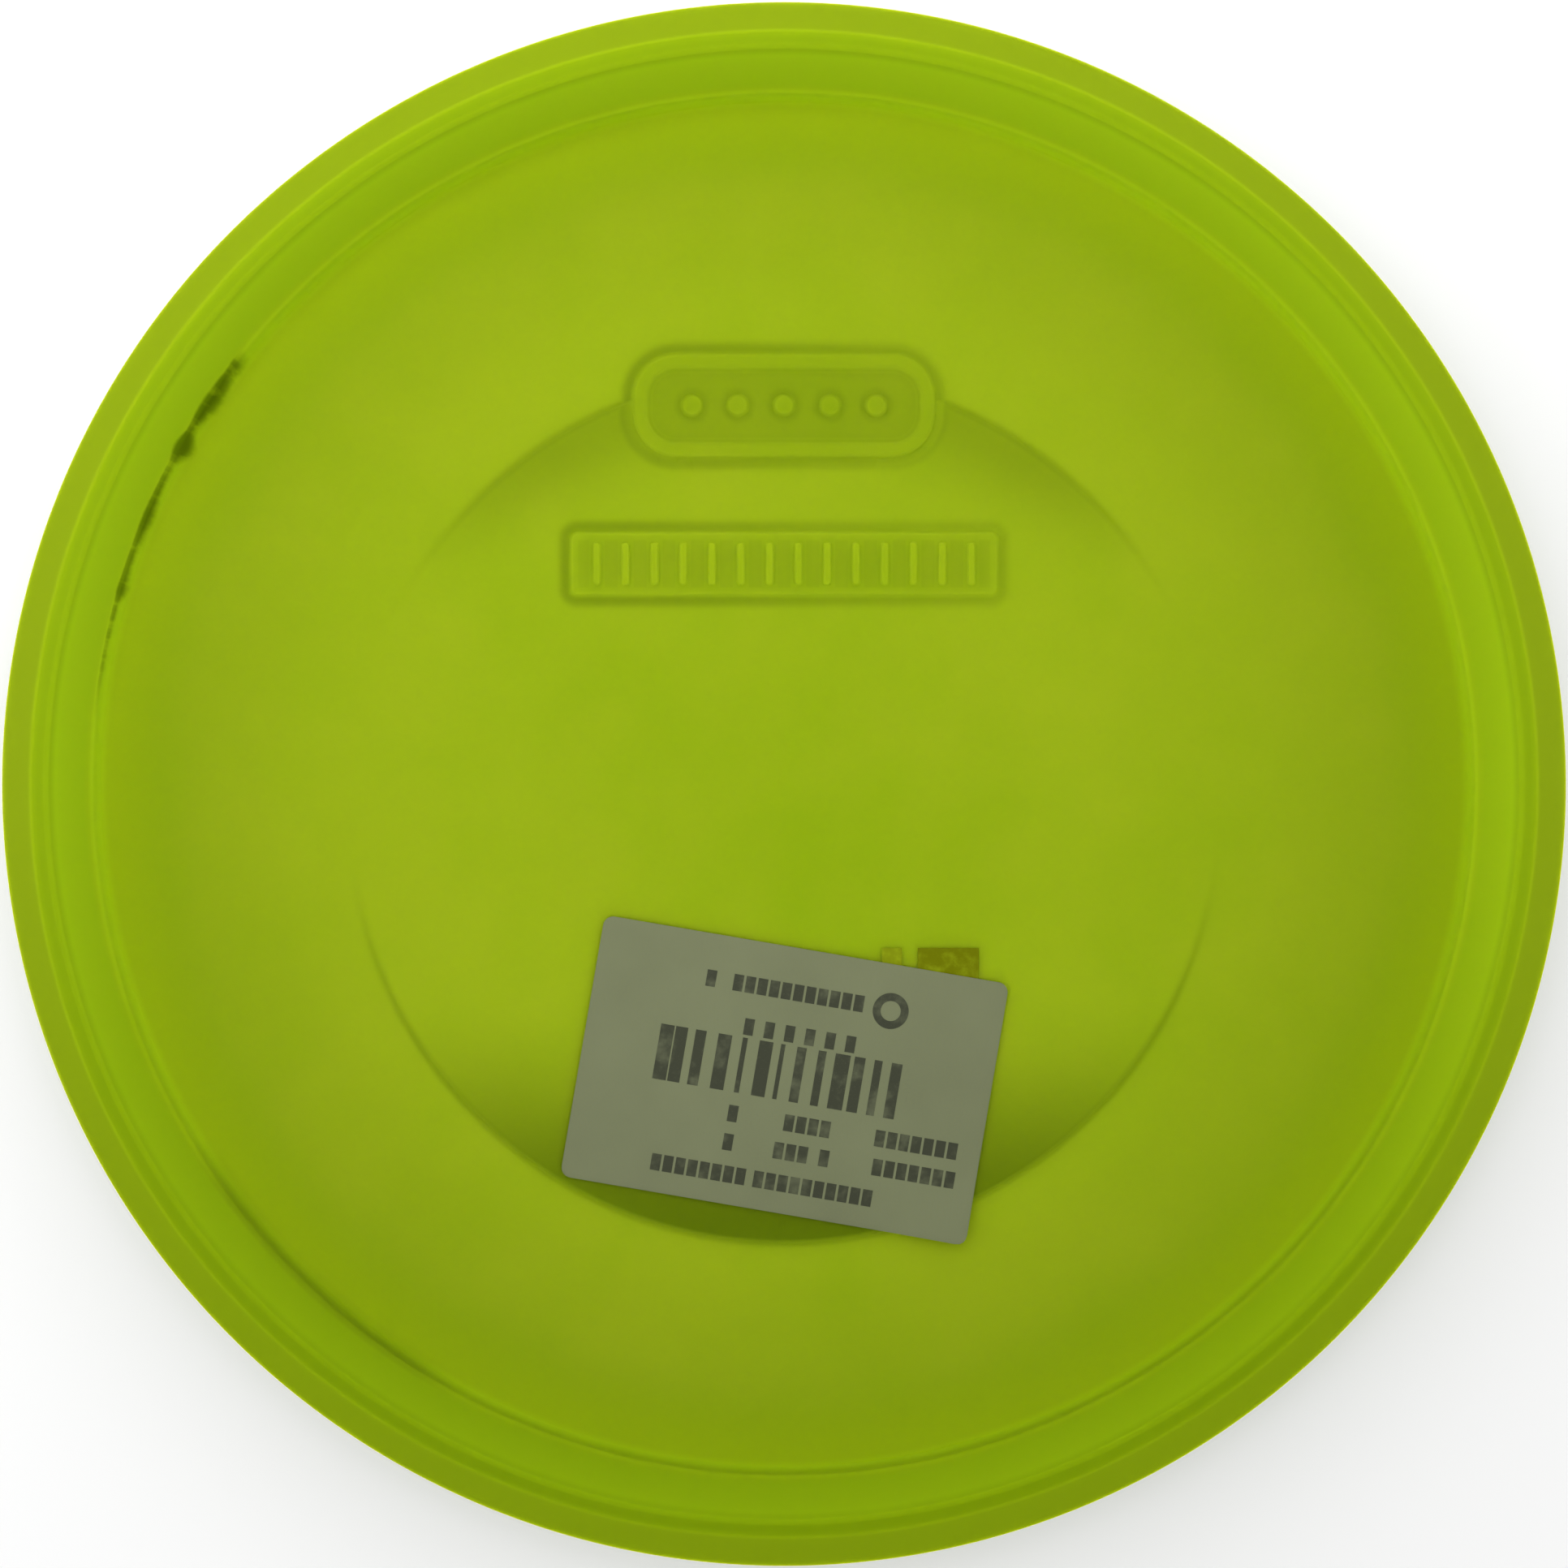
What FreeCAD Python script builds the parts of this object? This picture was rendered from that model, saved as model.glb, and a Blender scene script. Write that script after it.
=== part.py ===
"""A golf putter disc with a price label stuck inside it.

The disc is one moulding: a thin flight plate and the rim that runs round it. It lies on the outer face
of its flight plate with the open side up. Z is its spin axis and Z = 0 is the face that it lies on.
All sizes are in millimetres and degrees.
"""
import FreeCAD, Part
import math
import os
import Sketcher
from FreeCAD import Vector

SIZES = {
    # The disc in section
    "outside_diameter": 212.0,
    "rim_width": 10.2,  # from the nose to the inner edge of the lip
    "rim_depth": 15.0,  # from the lip down to the plate, at the wall
    "plate_thickness": 2.2,
    "crown_rise": 1.3,  # how far the plate curves up from its flat middle to the wall
    "flat_margin": 6.3,  # flat plate left outside the raised panel
    "shoulder_radius": 16.0,
    "nose_radius": 2.0,
    "nose_height": 8.2,
    "lip_flat": 1.2,
    "lip_radius": 0.7,
    "wall_lean": 0.35,  # draft of the inner wall over its height
    "corner_radius": 0.5,
    "witness_radius": 0.35,  # the groove that the mould's core ring leaves
    "witness_inset": 1.25,  # from the lip's inner edge to that groove
    # The raised panel in the middle of the plate
    "panel_radius": 60.5,
    "panel_offset": 3.2,  # its centre is this far towards the label
    "panel_step": 0.05,  # the height of its level strip
    "panel_slope": 0.68,  # how steeply it climbs away from that strip on both sides
    "strip_top": 26.6,
    "strip_bottom": -12.9,
    # The two plaques on the panel
    "badge_y": 52.6,
    "badge_length": 44.6,
    "badge_width": 17.0,
    "badge_rise": 0.4,  # above the plate
    "badge_corner": 7.4,
    "border_width": 1.7,
    "border_rise": 0.75,
    "stud_radius": 1.9,
    "stud_pitch": 6.4,
    "stud_count": 5,
    "stud_rise": 0.75,
    "bar_y": 30.6,
    "bar_length": 61.8,
    "bar_width": 11.2,
    "bar_rise": 0.45,
    "bar_corner": 2.2,
    "rib_width": 1.5,
    "rib_height": 6.4,
    "rib_pitch": 4.0,
    "rib_count": 14,
    "rib_rise": 0.8,
    # The price label
    "label_x": 0.1,
    "label_y": -41.1,
    "label_turn": -9.7,
    "label_length": 57.0,
    "label_width": 36.7,
    "label_corner": 1.4,
    "adhesive_thickness": 0.03,
    "paper_thickness": 0.10,
    "print_thickness": 0.02,
    "bars_y": 1.0,
    "bars_height": 7.7,
    "glyph_width": 1.35,
    "glyph_pitch": 1.7,
    "glyph_height": 2.3,
    "digit_x": -6.8,
    "digit_y": 6.4,
    "digit_pitch": 2.86,
    "digit_count": 6,
    "hoop_x": 12.9,
    "hoop_y": 11.9,
    "hoop_radius": 2.5,
    "hoop_line": 1.1,
    # The ink mark that the label partly covers
    "mark_x": 20.35,
    "mark_y": -24.9,
    "mark_length": 13.5,
    "mark_width": 4.2,
    "mark_dot": 2.8,
    "mark_gap": 2.2,
    "mark_thickness": 0.02,
}

# The label's prints, in its own frame. A bar has its left edge and width. A row has its left end, its
# height across the label and its count of glyphs.
CODE_BARS = [
    (-18.2, 1.9),
    (-16.1, 1.7),
    (-13.3, 1.5),
    (-10.1, 1.9),
    (-6.7, 0.7),
    (-4.3, 1.9),
    (-1.3, 0.6),
    (1.0, 1.3),
    (4.0, 1.1),
    (6.4, 2.1),
    (9.1, 1.5),
    (11.9, 1.1),
    (14.3, 1.5),
]
HEADER_ROWS = [(-13.1, 12.2, 1), (-9.3, 12.2, 11)]
TEXT_ROWS = [
    (-7.0, -5.8, 1),
    (0.9, -5.8, 4),
    (13.7, -5.8, 7),
    (-7.0, -9.8, 1),
    (0.1, -9.8, 3),
    (6.5, -9.8, 1),
    (14.0, -9.8, 7),
    (-16.4, -14.2, 8),
    (-2.0, -14.2, 10),
]

HALF = "Sizes.outside_diameter / 2"
LIP_INNER = f"({HALF} - Sizes.rim_width)"
FLAT = "(Sizes.panel_radius + Sizes.panel_offset + Sizes.flat_margin)"
CROWN_WIDTH = f"({LIP_INNER} - {FLAT})"
CROWN_RADIUS = f"({CROWN_WIDTH} * {CROWN_WIDTH} / (2 * Sizes.crown_rise) + Sizes.crown_rise / 2)"
TOTAL_HEIGHT = "(Sizes.rim_depth + Sizes.plate_thickness + Sizes.crown_rise)"
STRIP_HEIGHT = "(Sizes.plate_thickness + Sizes.panel_step)"
PANEL_REACH = "(Sizes.panel_radius + Sizes.panel_offset + 1)"
LABEL_FACE = "(Sizes.adhesive_thickness + Sizes.paper_thickness)"


def make_sheet(doc):
    """The driving dimensions, one plain number to a cell."""
    sheet = doc.addObject("Spreadsheet::Sheet", "Sizes")
    for row, (alias, value) in enumerate(SIZES.items(), 1):
        sheet.set(f"A{row}", str(value))
        sheet.setAlias(f"A{row}", alias)
    doc.recompute()


def origin_plane(body, role):
    return next(f for f in body.Origin.OriginFeatures if f.Role == role)


def new_sketch(body, name, role="XY_Plane", lift=None):
    """A sketch on one of the body's own origin planes, lifted along that plane's normal."""
    sketch = body.newObject("Sketcher::SketchObject", name)
    sketch.AttachmentSupport = [(origin_plane(body, role), "")]
    sketch.MapMode = "FlatFace"
    if lift:
        sketch.setExpression("AttachmentOffset.Base.z", lift)
    return sketch


def drive(sketch, name, expression, *constraint):
    """Adds a dimension whose value comes from the sheet."""
    value = float(sketch.evalExpression(expression))
    index = sketch.addConstraint(Sketcher.Constraint(*constraint, value))
    sketch.renameConstraint(index, name)
    sketch.setExpression(f"Constraints.{name}", expression)


def arc(centre, radius, start, end):
    """An arc that runs counter-clockwise between two angles in degrees."""
    circle = Part.Circle(Vector(*centre, 0), Vector(0, 0, 1), radius)
    return Part.ArcOfCircle(circle, math.radians(start), math.radians(end))


def line(start, end):
    return Part.LineSegment(Vector(*start, 0), Vector(*end, 0))


def polar(centre, radius, angle):
    a = math.radians(angle)
    return centre[0] + radius * math.cos(a), centre[1] + radius * math.sin(a)


def profile_geometry():
    """The disc's half section at the sizes in SIZES, as a start for the sketch's solver."""
    s = SIZES
    half = s["outside_diameter"] / 2
    lip_inner = half - s["rim_width"]
    flat = s["panel_radius"] + s["panel_offset"] + s["flat_margin"]
    width = lip_inner - flat
    crown = (width**2 + s["crown_rise"] ** 2) / (2 * s["crown_rise"])
    height = s["rim_depth"] + s["plate_thickness"] + s["crown_rise"]
    crown_centre = (flat, crown)
    nose_centre = (half - s["nose_radius"], s["nose_height"])
    # The shoulder touches the crown arc and the nose arc, so its centre is where two circles meet.
    to_crown, to_nose = crown - s["shoulder_radius"], s["shoulder_radius"] - s["nose_radius"]
    across, up = nose_centre[0] - crown_centre[0], crown_centre[1] - nose_centre[1]
    apart = math.hypot(across, up)
    turn = math.acos((to_crown**2 + apart**2 - to_nose**2) / (2 * to_crown * apart))
    crown_end = math.degrees(math.atan2(across, up) - turn) - 90
    shoulder_centre = polar(crown_centre, to_crown, crown_end)
    shoulder_end = math.degrees(
        math.atan2(nose_centre[1] - shoulder_centre[1], nose_centre[0] - shoulder_centre[0])
    )
    lip_radius = s["lip_radius"]
    inner_centre = (lip_inner + lip_radius, height - lip_radius)
    outer_centre = (inner_centre[0] + s["lip_flat"], inner_centre[1])
    # The lower face touches the nose arc and the lip's outer arc on the same side.
    dx, dz = outer_centre[0] - nose_centre[0], outer_centre[1] - nose_centre[1]
    slope = math.atan2(dz, dx) - math.acos((s["nose_radius"] - lip_radius) / math.hypot(dx, dz))
    slope = math.degrees(slope)
    lean = math.degrees(math.asin(s["wall_lean"] / (s["rim_depth"] - lip_radius)))
    wall_top = polar(inner_centre, lip_radius, 180 - lean)
    inner_crown = crown - s["plate_thickness"]
    corner = s["corner_radius"]
    foot_x = wall_top[0] - s["wall_lean"]
    corner_x = foot_x - corner
    drop = math.sqrt((inner_crown - corner) ** 2 - (corner_x - flat) ** 2)
    corner_centre = (corner_x, crown - drop)
    corner_start = math.degrees(math.atan2(corner_centre[1] - crown, corner_x - flat))
    corner_end = polar(corner_centre, corner, -lean)
    plate = s["plate_thickness"]
    return [
        line((0, 0), (flat, 0)),
        arc(crown_centre, crown, -90, crown_end),
        arc(shoulder_centre, s["shoulder_radius"], crown_end, shoulder_end),
        arc(nose_centre, s["nose_radius"], shoulder_end, slope),
        line(polar(nose_centre, s["nose_radius"], slope), polar(outer_centre, lip_radius, slope)),
        arc(outer_centre, lip_radius, slope, 90),
        line((outer_centre[0], height), (inner_centre[0], height)),
        arc(inner_centre, lip_radius, 90, 180 - lean),
        line(wall_top, corner_end),
        arc(corner_centre, corner, corner_start, -lean),
        arc(crown_centre, inner_crown, -90, corner_start),
        line((flat, plate), (0, plate)),
        line((0, plate), (0, 0)),
    ]


def disc_section(body):
    """The closed half section that the disc is turned from, in the XZ plane."""
    sketch = new_sketch(body, "disc_section", "XZ_Plane")
    sketch.addGeometry(profile_geometry(), False)
    (flat, crown, shoulder, nose, lower, lip_out, lip, lip_in, wall, corner, inner, plate, axis) = range(13)
    start, end, centre, origin = 1, 2, 3, (-1, 1)
    add = sketch.addConstraint
    add(Sketcher.Constraint("Coincident", flat, start, *origin))
    add(Sketcher.Constraint("Coincident", axis, end, flat, start))
    add(Sketcher.Constraint("Coincident", plate, end, axis, start))
    add(Sketcher.Constraint("Coincident", inner, centre, crown, centre))
    for level in (flat, lip, plate):
        add(Sketcher.Constraint("Horizontal", level))
    add(Sketcher.Constraint("Vertical", axis))
    chain = [flat, crown, shoulder, nose, lower, lip_out, lip, lip_in, wall]
    for one, other in zip(chain, chain[1:]):
        add(Sketcher.Constraint("Tangent", one, end, other, start))
    add(Sketcher.Constraint("Tangent", wall, end, corner, end))
    add(Sketcher.Constraint("Tangent", corner, start, inner, end))
    add(Sketcher.Constraint("Tangent", inner, start, plate, start))
    drive(sketch, "flat_radius", FLAT, "DistanceX", *origin, flat, end)
    drive(sketch, "crown_radius", CROWN_RADIUS, "Radius", crown)
    drive(sketch, "shoulder_radius", "Sizes.shoulder_radius", "Radius", shoulder)
    drive(sketch, "nose_radius", "Sizes.nose_radius", "Radius", nose)
    drive(sketch, "nose_reach", f"{HALF} - Sizes.nose_radius", "DistanceX", *origin, nose, centre)
    drive(sketch, "nose_height", "Sizes.nose_height", "DistanceY", *origin, nose, centre)
    drive(sketch, "lip_outer_radius", "Sizes.lip_radius", "Radius", lip_out)
    drive(sketch, "lip_inner_radius", "Sizes.lip_radius", "Radius", lip_in)
    drive(sketch, "total_height", TOTAL_HEIGHT, "DistanceY", *origin, lip, start)
    drive(sketch, "lip_flat", "Sizes.lip_flat", "DistanceX", lip_in, centre, lip_out, centre)
    drive(sketch, "lip_reach", f"{LIP_INNER} + Sizes.lip_radius", "DistanceX", *origin, lip_in, centre)
    drive(sketch, "wall_lean", "Sizes.wall_lean", "DistanceX", wall, end, wall, start)
    drive(sketch, "corner_radius", "Sizes.corner_radius", "Radius", corner)
    drive(sketch, "plate_thickness", "Sizes.plate_thickness", "DistanceY", *origin, plate, end)
    return sketch


def turned_disc(body):
    """The plate and rim in one turned solid."""
    sketch = disc_section(body)
    turned = body.newObject("PartDesign::Revolution", "turned_disc")
    turned.Profile = sketch
    turned.ReferenceAxis = (sketch, ["V_Axis"])
    turned.Angle = 360


def witness_groove(body):
    """The fine groove that the mould's core ring leaves round the foot of the wall."""
    sketch = new_sketch(body, "witness_section", "XZ_Plane")
    reach = f"({LIP_INNER} - Sizes.witness_inset)"
    inner = f"({CROWN_RADIUS} - Sizes.plate_thickness)"
    level = f"{CROWN_RADIUS} - sqrt({inner} * {inner} - ({reach} - {FLAT}) * ({reach} - {FLAT}))"
    at = SIZES["outside_diameter"] / 2 - SIZES["rim_width"] - SIZES["witness_inset"]
    circle = Part.Circle(Vector(at, SIZES["plate_thickness"], 0), Vector(0, 0, 1), SIZES["witness_radius"])
    sketch.addGeometry(circle, False)
    drive(sketch, "radius", "Sizes.witness_radius", "Radius", 0)
    drive(sketch, "reach", reach, "DistanceX", -1, 1, 0, 3)
    drive(sketch, "level", level, "DistanceY", -1, 1, 0, 3)
    groove = body.newObject("PartDesign::Groove", "witness_groove")
    groove.Profile = sketch
    groove.ReferenceAxis = (sketch, ["V_Axis"])
    groove.Angle = 360


def raised_panel(body):
    """The round panel, padded from the plate and then cut so that its two far sides slope up."""
    outline = new_sketch(body, "panel_outline", lift="Sizes.plate_thickness")
    middle = -SIZES["panel_offset"]
    outline.addGeometry(Part.Circle(Vector(0, middle, 0), Vector(0, 0, 1), SIZES["panel_radius"]), False)
    outline.addConstraint(Sketcher.Constraint("PointOnObject", 0, 3, -2))
    drive(outline, "radius", "Sizes.panel_radius", "Radius", 0)
    drive(outline, "offset", "Sizes.panel_offset", "DistanceY", 0, 3, -1, 1)
    pad = body.newObject("PartDesign::Pad", "panel")
    pad.Profile = outline
    pad.setExpression("Length", f"Sizes.panel_step + 2 * {PANEL_REACH} * tan(Sizes.panel_slope)")

    section = new_sketch(body, "panel_cut_section", "YZ_Plane")
    level = section.evalExpression(STRIP_HEIGHT)
    reach = section.evalExpression(PANEL_REACH)
    low, high = SIZES["strip_bottom"], SIZES["strip_top"]
    climb = math.tan(math.radians(SIZES["panel_slope"]))
    corners = [
        (low, level),
        (high, level),
        (reach, level + (reach - high) * climb),
        (reach, level + 3 * reach * climb),
        (-reach, level + 3 * reach * climb),
        (-reach, level + (reach + low) * climb),
    ]
    add_polygon(section, corners)
    for side, way in ((0, "Horizontal"), (2, "Vertical"), (3, "Horizontal"), (4, "Vertical")):
        section.addConstraint(Sketcher.Constraint(way, side))
    drive(section, "level", STRIP_HEIGHT, "DistanceY", -1, 1, 0, 1)
    drive(section, "strip_bottom", "-Sizes.strip_bottom", "DistanceX", 0, 1, -1, 1)
    drive(section, "strip_top", "Sizes.strip_top", "DistanceX", -1, 1, 1, 1)
    drive(section, "right", PANEL_REACH, "DistanceX", -1, 1, 2, 1)
    drive(section, "left", PANEL_REACH, "DistanceX", 4, 1, -1, 1)
    drive(section, "top", f"3 * {PANEL_REACH} * tan(Sizes.panel_slope)", "DistanceY", 0, 1, 3, 1)
    right_climb = f"({PANEL_REACH} - Sizes.strip_top) * tan(Sizes.panel_slope)"
    left_climb = f"({PANEL_REACH} + Sizes.strip_bottom) * tan(Sizes.panel_slope)"
    drive(section, "right_climb", right_climb, "DistanceY", 1, 1, 1, 2)
    drive(section, "left_climb", left_climb, "DistanceY", 0, 1, 5, 1)
    cut = body.newObject("PartDesign::Pocket", "panel_cut")
    cut.Profile = section
    cut.Midplane = True
    cut.setExpression("Length", f"2 * {PANEL_REACH}")


def add_polygon(sketch, corners):
    """A closed outline whose side k runs from corner k to the next one."""
    first = sketch.GeometryCount
    sketch.addGeometry([line(a, b) for a, b in zip(corners, corners[1:] + corners[:1])], False)
    for k in range(len(corners)):
        following = first + (k + 1) % len(corners)
        sketch.addConstraint(Sketcher.Constraint("Coincident", first + k, 2, following, 1))


def rounded_outline(sketch, length, width, radius, centre_y):
    """A rectangle with round corners, centred on X = 0. Each argument is an expression and its value."""
    (half_l, half_w), r = (length[1] / 2, width[1] / 2), radius[1]
    corners = [(1, -1, -90), (1, 1, 0), (-1, 1, 90), (-1, -1, 180)]
    arcs = [
        arc((sx * (half_l - r), centre_y[1] + sy * (half_w - r)), r, a, a + 90) for sx, sy, a in corners
    ]
    first = sketch.GeometryCount
    sketch.addGeometry(arcs, False)
    ends = [(a.EndPoint, b.StartPoint) for a, b in zip(arcs, arcs[1:] + arcs[:1])]
    sketch.addGeometry([Part.LineSegment(a, b) for a, b in ends], False)
    add = sketch.addConstraint
    for k in range(4):
        add(Sketcher.Constraint("Tangent", first + k, 2, first + 4 + k, 1))
        add(Sketcher.Constraint("Tangent", first + 4 + k, 2, first + (k + 1) % 4, 1))
    for k, way in enumerate(("Vertical", "Horizontal", "Vertical", "Horizontal")):
        add(Sketcher.Constraint(way, first + 4 + k))
    for k in range(1, 4):
        add(Sketcher.Constraint("Equal", first, first + k))
    drive(sketch, f"radius{first}", radius[0], "Radius", first)
    right, top, left, bottom = (first + 4 + k for k in range(4))
    drive(sketch, f"right{first}", f"({length[0]}) / 2", "DistanceX", -1, 1, right, 1)
    drive(sketch, f"left{first}", f"({length[0]}) / 2", "DistanceX", left, 1, -1, 1)
    drive(sketch, f"width{first}", width[0], "DistanceY", bottom, 1, top, 1)
    drive(sketch, f"top{first}", f"{centre_y[0]} + ({width[0]}) / 2", "DistanceY", -1, 1, top, 1)


def plaque(body, name):
    """A low plate with round corners, standing on the flight plate."""
    sketch = new_sketch(body, f"{name}_outline", lift="Sizes.plate_thickness")
    plaque_outline(sketch, name, 0)
    pad = body.newObject("PartDesign::Pad", name)
    pad.Profile = sketch
    pad.setExpression("Length", f"Sizes.{name}_rise")


def plaque_outline(sketch, name, inset):
    """A plaque's outline, drawn in by a multiple of the border's width."""
    s = SIZES
    by = f"{inset} * Sizes.border_width"
    rounded_outline(
        sketch,
        (f"Sizes.{name}_length - 2 * {by}", s[f"{name}_length"] - 2 * inset * s["border_width"]),
        (f"Sizes.{name}_width - 2 * {by}", s[f"{name}_width"] - 2 * inset * s["border_width"]),
        (f"Sizes.{name}_corner - {by}", s[f"{name}_corner"] - inset * s["border_width"]),
        (f"Sizes.{name}_y", s[f"{name}_y"]),
    )


def badge_border(body):
    """The raised border round the badge."""
    sketch = new_sketch(body, "border_outline", lift="Sizes.plate_thickness")
    plaque_outline(sketch, "badge", 0)
    plaque_outline(sketch, "badge", 1)
    pad = body.newObject("PartDesign::Pad", "border")
    pad.Profile = sketch
    pad.setExpression("Length", "Sizes.border_rise")


def row_of(body, name, feature, pitch, count):
    """Repeats a pad to the right, count times in all."""
    pattern = body.newObject("PartDesign::LinearPattern", name)
    pattern.Originals = [feature]
    pattern.Direction = (feature.Profile[0], ["H_Axis"])
    pattern.setExpression("Length", f"{pitch} * ({count} - 1)")
    pattern.setExpression("Occurrences", count)
    body.Tip = pattern


def studs(body):
    """A row of low round studs on the badge."""
    sketch = new_sketch(body, "stud_outline", lift="Sizes.plate_thickness")
    s = SIZES
    start = -s["stud_pitch"] * (s["stud_count"] - 1) / 2
    sketch.addGeometry(Part.Circle(Vector(start, s["badge_y"], 0), Vector(0, 0, 1), s["stud_radius"]), False)
    first = "Sizes.stud_pitch * (Sizes.stud_count - 1) / 2"
    drive(sketch, "radius", "Sizes.stud_radius", "Radius", 0)
    drive(sketch, "first", first, "DistanceX", 0, 3, -1, 1)
    drive(sketch, "middle", "Sizes.badge_y", "DistanceY", -1, 1, 0, 3)
    pad = body.newObject("PartDesign::Pad", "stud")
    pad.Profile = sketch
    pad.setExpression("Length", "Sizes.stud_rise")
    row_of(body, "studs", pad, "Sizes.stud_pitch", "Sizes.stud_count")


def ribs(body):
    """A row of upright ribs on the bar."""
    sketch = new_sketch(body, "rib_outline", lift="Sizes.plate_thickness")
    s = SIZES
    start = -s["rib_pitch"] * (s["rib_count"] - 1) / 2
    left, right = start - s["rib_width"] / 2, start + s["rib_width"] / 2
    low, high = s["bar_y"] - s["rib_height"] / 2, s["bar_y"] + s["rib_height"] / 2
    corners = [(left, low), (right, low), (right, high), (left, high)]
    add_polygon(sketch, corners)
    for k in range(4):
        sketch.addConstraint(Sketcher.Constraint("Vertical" if k % 2 else "Horizontal", k))
    first = "Sizes.rib_pitch * (Sizes.rib_count - 1) / 2"
    drive(sketch, "left", f"{first} + Sizes.rib_width / 2", "DistanceX", 0, 1, -1, 1)
    drive(sketch, "width", "Sizes.rib_width", "DistanceX", 0, 1, 0, 2)
    drive(sketch, "low", "Sizes.bar_y - Sizes.rib_height / 2", "DistanceY", -1, 1, 0, 1)
    drive(sketch, "height", "Sizes.rib_height", "DistanceY", 1, 1, 1, 2)
    pad = body.newObject("PartDesign::Pad", "rib")
    pad.Profile = sketch
    pad.setExpression("Length", "Sizes.rib_rise")
    row_of(body, "ribs", pad, "Sizes.rib_pitch", "Sizes.rib_count")


def make_disc(doc):
    """The moulded disc, whose every step must change its volume."""
    body = doc.addObject("PartDesign::Body", "disc_body")
    body.Label = "disc_body"
    volume = 0.0
    for build in (
        turned_disc,
        witness_groove,
        raised_panel,
        lambda b: plaque(b, "badge"),
        badge_border,
        studs,
        lambda b: plaque(b, "bar"),
        ribs,
    ):
        build(body)
        doc.recompute()
        if abs(body.Shape.Volume - volume) < 1e-3:
            raise RuntimeError(f"{body.Tip.Name} changes nothing")
        volume = body.Shape.Volume
    return body


def lay_on_panel(thing, x, y, turn):
    """Lays a thing on the panel's lower slope, with its own origin over x, y."""
    height = f"{STRIP_HEIGHT} + (Sizes.strip_bottom - ({y})) * tan(Sizes.panel_slope)"
    turned = f"rotation(vector(1; 0; 0); -Sizes.panel_slope) * rotation(vector(0; 0; 1); {turn})"
    thing.setExpression("Placement", f"placement(vector({x}; {y}; {height}); {turned})")


def lay_on_label(thing):
    lay_on_panel(thing, "Sizes.label_x", "Sizes.label_y", "Sizes.label_turn")


def label_sheet(doc, name, lift, thickness):
    """One layer of the label, at its height above the panel."""
    sketch = doc.addObject("Sketcher::SketchObject", f"{name}_outline")
    s = SIZES
    rounded_outline(
        sketch,
        ("Sizes.label_length", s["label_length"]),
        ("Sizes.label_width", s["label_width"]),
        ("Sizes.label_corner", s["label_corner"]),
        ("0", 0.0),
    )
    sketch.setExpression("Placement.Base.z", lift)
    sheet = doc.addObject("Part::Extrusion", name)
    sheet.Base = sketch
    sheet.DirMode = "Normal"
    sheet.Solid = True
    sheet.setExpression("LengthFwd", thickness)
    lay_on_label(sheet)
    return sheet


def block(doc, name, x, y, length, width):
    """A printed block, given by its left edge and the middle of its width."""
    solid = doc.addObject("Part::Box", name)
    solid.setExpression("Length", length)
    solid.setExpression("Width", width)
    solid.setExpression("Height", "Sizes.print_thickness")
    solid.setExpression("Placement.Base", f"vector({x}; {y} - ({width}) / 2; {LABEL_FACE})")
    return solid


def glyph_rows(doc, name, rows, pitch="Sizes.glyph_pitch"):
    """Rows of plain printed blocks, one for each glyph."""
    blocks = []
    for x, y, count in rows:
        for k in range(count):
            left = f"{x} + {k} * {pitch}"
            part = f"{name}_{len(blocks)}"
            blocks.append(block(doc, part, left, str(y), "Sizes.glyph_width", "Sizes.glyph_height"))
    return blocks


def code_bars(doc):
    """The bars of the code."""
    return [
        block(doc, f"bar_{k}", str(x), "Sizes.bars_y", str(width), "Sizes.bars_height")
        for k, (x, width) in enumerate(CODE_BARS)
    ]


def hoop(doc):
    """A plain hoop at the end of the header."""
    ring = doc.addObject("Part::Cut", "hoop")
    ring.Base = doc.addObject("Part::Cylinder", "hoop_outside")
    ring.Tool = doc.addObject("Part::Cylinder", "hoop_inside")
    ring.Base.setExpression("Radius", "Sizes.hoop_radius")
    ring.Tool.setExpression("Radius", "Sizes.hoop_radius - Sizes.hoop_line")
    for cylinder in (ring.Base, ring.Tool):
        cylinder.setExpression("Height", "Sizes.print_thickness")
        cylinder.setExpression("Placement.Base", f"vector(Sizes.hoop_x; Sizes.hoop_y; {LABEL_FACE})")
    return ring


def make_ink_mark(doc):
    """A short inked dot and dash on the panel, half under the label."""
    dot = doc.addObject("Part::Box", "mark_small")
    dash = doc.addObject("Part::Box", "mark_long")
    left, low = "-Sizes.mark_length / 2", "-Sizes.mark_width / 2"
    dash_shift = "Sizes.mark_dot + Sizes.mark_gap"
    for box, x, length in (
        (dot, left, "Sizes.mark_dot"),
        (dash, f"{left} + {dash_shift}", f"Sizes.mark_length - ({dash_shift})"),
    ):
        box.setExpression("Length", length)
        box.setExpression("Width", "Sizes.mark_width")
        box.setExpression("Height", "Sizes.mark_thickness")
        box.setExpression("Placement.Base", f"vector({x}; {low}; 0)")
    mark = doc.addObject("Part::Compound", "ink_mark")
    mark.Label = "ink_mark"
    mark.Links = [dot, dash]
    lay_on_panel(mark, "Sizes.mark_x", "Sizes.mark_y", "0")
    return mark


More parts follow.
